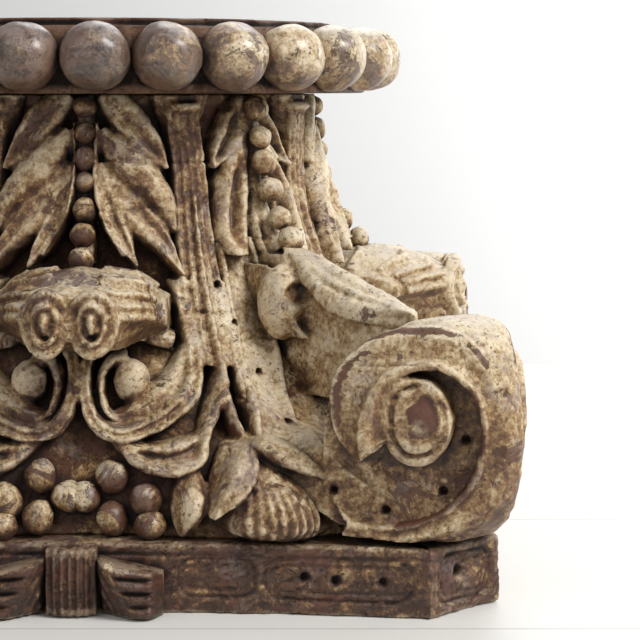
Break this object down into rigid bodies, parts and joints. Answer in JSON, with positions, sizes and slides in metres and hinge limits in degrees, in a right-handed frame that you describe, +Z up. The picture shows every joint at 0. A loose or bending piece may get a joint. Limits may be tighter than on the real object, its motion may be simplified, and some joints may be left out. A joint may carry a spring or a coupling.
{
  "type": "corinthian capital",
  "caption": "Carved wooden Corinthian capital standing upside down on its abacus: flared leafy bell, corner volutes and a beaded necking ring on top.",
  "frame": {"origin": "centre of the abacus's underside, which the capital stands on", "axes": "+Z up, from the abacus to the necking ring; the front face looks along -Y"},
  "size_m": [0.5076, 0.5079, 0.3372],
  "materials": {
    "stained_wood": "dark stained wood with worn paint",
    "painted_carving": "worn cream paint over gesso and dark wood",
    "painted_beads": "worn cream paint over red-brown wood"
  },
  "bodies": {
    "root": {"abacus": "stained_wood", "bell": "painted_carving", "bead_ring": "painted_beads"}
  },
  "joints": []
}
